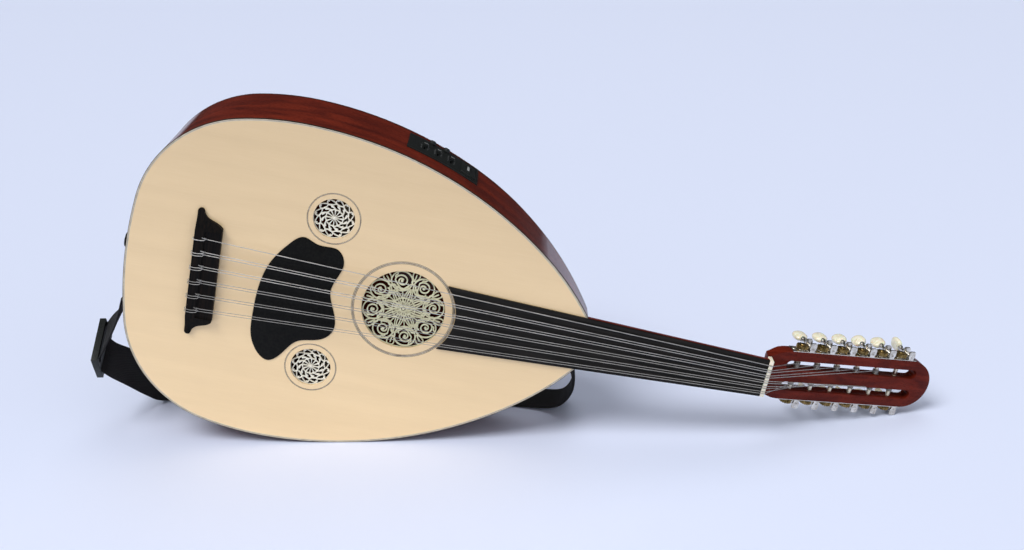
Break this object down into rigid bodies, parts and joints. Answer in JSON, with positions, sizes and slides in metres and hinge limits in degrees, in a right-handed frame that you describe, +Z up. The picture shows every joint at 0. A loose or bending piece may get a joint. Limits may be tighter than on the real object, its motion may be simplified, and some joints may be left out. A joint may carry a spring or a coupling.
{
  "type": "electro-acoustic oud with strap",
  "caption": "Pear-shaped lute with upright sides, fretless neck, slotted geared head, paired strings, pierced rosettes, side preamp and hanging strap.",
  "frame": {"origin": "on the floor, below the centre of the whole oud's box", "axes": "+X along the oud's length towards the head (which hangs down a little), +Y from the soundboard to the back, +Z up, towards the bass side"},
  "size_m": [0.9498, 0.1746, 0.374],
  "materials": {
    "spruce": "satin",
    "brace_spruce": "bare wood",
    "rosette_ring": "satin",
    "rosette_fretwork": "satin",
    "mahogany": "high gloss lacquer",
    "binding": "gloss",
    "ebony_black": "satin",
    "pickguard_black": "semi-gloss",
    "bone": "satin",
    "wound_string": "wound",
    "nylon_string": "clear",
    "nickel": "plated",
    "brass_post": "worn",
    "key_button": "pearl",
    "preamp_black": "fine texture",
    "control_cap": "satin",
    "steel_jack": "plated",
    "strap_web": "woven",
    "strap_leather": "grained",
    "strap_buckle": "moulded"
  },
  "bodies": {
    "oud": {"back_braces": "brace_spruce", "back_halves": "mahogany", "bass_machine_plate": "nickel", "bass_side": "mahogany", "binding": "binding", "bridge": "ebony_black", "endpin_jack": "steel_jack", "fingerboard": "ebony_black", "headstock": "mahogany", "heel_strap_button": "nickel", "linings": "brace_spruce", "main_rosette": "rosette_fretwork", "neck": "mahogany", "neck_block": "brace_spruce", "nut": "bone", "pickguard": "pickguard_black", "plain_strings": "nylon_string", "plate_screws": "nickel", "preamp_housing": "preamp_black", "rosette_rings": "rosette_ring", "small_rosettes": "rosette_fretwork", "soundboard": "spruce", "soundboard_braces": "brace_spruce", "strap_buckle": "strap_buckle", "strap_tabs": "strap_leather", "strap_webbing": "strap_web", "tail_block": "brace_spruce", "treble_machine_plate": "nickel", "treble_side": "mahogany", "wound_strings": "wound_string"},
    "bass_key_1": {"bass_key_1": "key_button"},
    "bass_key_2": {"bass_key_2": "key_button"},
    "bass_key_3": {"bass_key_3": "key_button"},
    "bass_key_4": {"bass_key_4": "key_button"},
    "bass_key_5": {"bass_key_5": "key_button"},
    "bass_key_6": {"bass_key_6": "key_button"},
    "bass_post_1": {"bass_post_1": "brass_post"},
    "bass_post_2": {"bass_post_2": "brass_post"},
    "bass_post_3": {"bass_post_3": "brass_post"},
    "bass_post_4": {"bass_post_4": "brass_post"},
    "bass_post_5": {"bass_post_5": "brass_post"},
    "bass_post_6": {"bass_post_6": "brass_post"},
    "battery_door": {"battery_door": "preamp_black"},
    "preamp_knob_1": {"preamp_knob_1": "control_cap"},
    "preamp_knob_2": {"preamp_knob_2": "control_cap"},
    "tone_slider_1": {"tone_slider_1": "control_cap"},
    "tone_slider_2": {"tone_slider_2": "control_cap"},
    "tone_slider_3": {"tone_slider_3": "control_cap"},
    "treble_key_1": {"treble_key_1": "key_button"},
    "treble_key_2": {"treble_key_2": "key_button"},
    "treble_key_3": {"treble_key_3": "key_button"},
    "treble_key_4": {"treble_key_4": "key_button"},
    "treble_key_5": {"treble_key_5": "key_button"},
    "treble_key_6": {"treble_key_6": "key_button"},
    "treble_post_1": {"treble_post_1": "brass_post"},
    "treble_post_2": {"treble_post_2": "brass_post"},
    "treble_post_3": {"treble_post_3": "brass_post"},
    "treble_post_4": {"treble_post_4": "brass_post"},
    "treble_post_5": {"treble_post_5": "brass_post"},
    "treble_post_6": {"treble_post_6": "brass_post"}
  },
  "joints": [
    {"name": "bass_key_1_turn", "type": "hinge", "parent": "oud", "child": "bass_key_1", "pos_m": [0.32583, -0.04677, 0.10041], "axis": [-0.2366, 0.9703, 0.0505], "continuous": true},
    {"name": "bass_post_1_turn", "type": "hinge", "parent": "oud", "child": "bass_post_1", "pos_m": [0.31175, -0.05167, 0.07898], "axis": [0.2089, 0, 0.9779], "continuous": true},
    {"name": "bass_key_2_turn", "type": "hinge", "parent": "oud", "child": "bass_key_2", "pos_m": [0.35002, -0.0406, 0.09524], "axis": [-0.2366, 0.9703, 0.0505], "continuous": true},
    {"name": "bass_post_2_turn", "type": "hinge", "parent": "oud", "child": "bass_post_2", "pos_m": [0.33594, -0.0455, 0.07381], "axis": [0.2089, 0, 0.9779], "continuous": true},
    {"name": "bass_key_3_turn", "type": "hinge", "parent": "oud", "child": "bass_key_3", "pos_m": [0.37422, -0.03443, 0.09007], "axis": [-0.2366, 0.9703, 0.0505], "continuous": true},
    {"name": "bass_post_3_turn", "type": "hinge", "parent": "oud", "child": "bass_post_3", "pos_m": [0.36014, -0.03933, 0.06864], "axis": [0.2089, 0, 0.9779], "continuous": true},
    {"name": "bass_key_4_turn", "type": "hinge", "parent": "oud", "child": "bass_key_4", "pos_m": [0.39842, -0.02826, 0.0849], "axis": [-0.2366, 0.9703, 0.0505], "continuous": true},
    {"name": "bass_post_4_turn", "type": "hinge", "parent": "oud", "child": "bass_post_4", "pos_m": [0.38434, -0.03316, 0.06347], "axis": [0.2089, 0, 0.9779], "continuous": true},
    {"name": "bass_key_5_turn", "type": "hinge", "parent": "oud", "child": "bass_key_5", "pos_m": [0.42262, -0.0221, 0.07973], "axis": [-0.2366, 0.9703, 0.0505], "continuous": true},
    {"name": "bass_post_5_turn", "type": "hinge", "parent": "oud", "child": "bass_post_5", "pos_m": [0.40853, -0.02699, 0.0583], "axis": [0.2089, 0, 0.9779], "continuous": true},
    {"name": "bass_key_6_turn", "type": "hinge", "parent": "oud", "child": "bass_key_6", "pos_m": [0.44681, -0.01593, 0.07456], "axis": [-0.2366, 0.9703, 0.0505], "continuous": true},
    {"name": "bass_post_6_turn", "type": "hinge", "parent": "oud", "child": "bass_post_6", "pos_m": [0.43273, -0.02082, 0.05313], "axis": [0.2089, 0, 0.9779], "continuous": true},
    {"name": "treble_key_1_turn", "type": "hinge", "parent": "oud", "child": "treble_key_1", "pos_m": [0.31166, -0.04677, 0.03411], "axis": [-0.2366, 0.9703, 0.0505], "continuous": true},
    {"name": "treble_post_1_turn", "type": "hinge", "parent": "oud", "child": "treble_post_1", "pos_m": [0.30757, -0.05167, 0.05942], "axis": [-0.2089, 0, -0.9779], "continuous": true},
    {"name": "treble_key_2_turn", "type": "hinge", "parent": "oud", "child": "treble_key_2", "pos_m": [0.33586, -0.0406, 0.02894], "axis": [-0.2366, 0.9703, 0.0505], "continuous": true},
    {"name": "treble_post_2_turn", "type": "hinge", "parent": "oud", "child": "treble_post_2", "pos_m": [0.33177, -0.0455, 0.05425], "axis": [-0.2089, 0, -0.9779], "continuous": true},
    {"name": "treble_key_3_turn", "type": "hinge", "parent": "oud", "child": "treble_key_3", "pos_m": [0.36006, -0.03443, 0.02377], "axis": [-0.2366, 0.9703, 0.0505], "continuous": true},
    {"name": "treble_post_3_turn", "type": "hinge", "parent": "oud", "child": "treble_post_3", "pos_m": [0.35596, -0.03933, 0.04908], "axis": [-0.2089, 0, -0.9779], "continuous": true},
    {"name": "treble_key_4_turn", "type": "hinge", "parent": "oud", "child": "treble_key_4", "pos_m": [0.38425, -0.02826, 0.0186], "axis": [-0.2366, 0.9703, 0.0505], "continuous": true},
    {"name": "treble_post_4_turn", "type": "hinge", "parent": "oud", "child": "treble_post_4", "pos_m": [0.38016, -0.03316, 0.04391], "axis": [-0.2089, 0, -0.9779], "continuous": true},
    {"name": "treble_key_5_turn", "type": "hinge", "parent": "oud", "child": "treble_key_5", "pos_m": [0.40845, -0.0221, 0.01343], "axis": [-0.2366, 0.9703, 0.0505], "continuous": true},
    {"name": "treble_post_5_turn", "type": "hinge", "parent": "oud", "child": "treble_post_5", "pos_m": [0.40436, -0.02699, 0.03874], "axis": [-0.2089, 0, -0.9779], "continuous": true},
    {"name": "treble_key_6_turn", "type": "hinge", "parent": "oud", "child": "treble_key_6", "pos_m": [0.43265, -0.01593, 0.00826], "axis": [-0.2366, 0.9703, 0.0505], "continuous": true},
    {"name": "treble_post_6_turn", "type": "hinge", "parent": "oud", "child": "treble_post_6", "pos_m": [0.42855, -0.02082, 0.03357], "axis": [-0.2089, 0, -0.9779], "continuous": true},
    {"name": "tone_slider_1_slide", "type": "slide", "parent": "oud", "child": "tone_slider_1", "axis": [0, 1, 0], "range_m": [-0.008, 0.008]},
    {"name": "tone_slider_2_slide", "type": "slide", "parent": "oud", "child": "tone_slider_2", "axis": [0, 1, 0], "range_m": [-0.008, 0.008]},
    {"name": "tone_slider_3_slide", "type": "slide", "parent": "oud", "child": "tone_slider_3", "axis": [0, 1, 0], "range_m": [-0.008, 0.008]},
    {"name": "preamp_knob_1_turn", "type": "hinge", "parent": "oud", "child": "preamp_knob_1", "pos_m": [-0.09059, -0.0037, 0.32246], "axis": [0.4853, 0, 0.8743], "range_deg": [-140, 140]},
    {"name": "preamp_knob_2_turn", "type": "hinge", "parent": "oud", "child": "preamp_knob_2", "pos_m": [-0.07603, -0.0037, 0.314], "axis": [0.5188, 0, 0.8549], "range_deg": [-140, 140]},
    {"name": "battery_door_swing", "type": "hinge", "parent": "oud", "child": "battery_door", "pos_m": [-0.05099, -0.0387, 0.2998], "axis": [0.8189, 0, -0.574], "range_deg": [0, 100]}
  ],
  "couplings": [
    {"joint": "bass_post_1_turn", "follows": "bass_key_1_turn", "ratio": 0.071429},
    {"joint": "bass_post_2_turn", "follows": "bass_key_2_turn", "ratio": 0.071429},
    {"joint": "bass_post_3_turn", "follows": "bass_key_3_turn", "ratio": 0.071429},
    {"joint": "bass_post_4_turn", "follows": "bass_key_4_turn", "ratio": 0.071429},
    {"joint": "bass_post_5_turn", "follows": "bass_key_5_turn", "ratio": 0.071429},
    {"joint": "bass_post_6_turn", "follows": "bass_key_6_turn", "ratio": 0.071429},
    {"joint": "treble_post_1_turn", "follows": "treble_key_1_turn", "ratio": 0.071429},
    {"joint": "treble_post_2_turn", "follows": "treble_key_2_turn", "ratio": 0.071429},
    {"joint": "treble_post_3_turn", "follows": "treble_key_3_turn", "ratio": 0.071429},
    {"joint": "treble_post_4_turn", "follows": "treble_key_4_turn", "ratio": 0.071429},
    {"joint": "treble_post_5_turn", "follows": "treble_key_5_turn", "ratio": 0.071429},
    {"joint": "treble_post_6_turn", "follows": "treble_key_6_turn", "ratio": 0.071429}
  ]
}
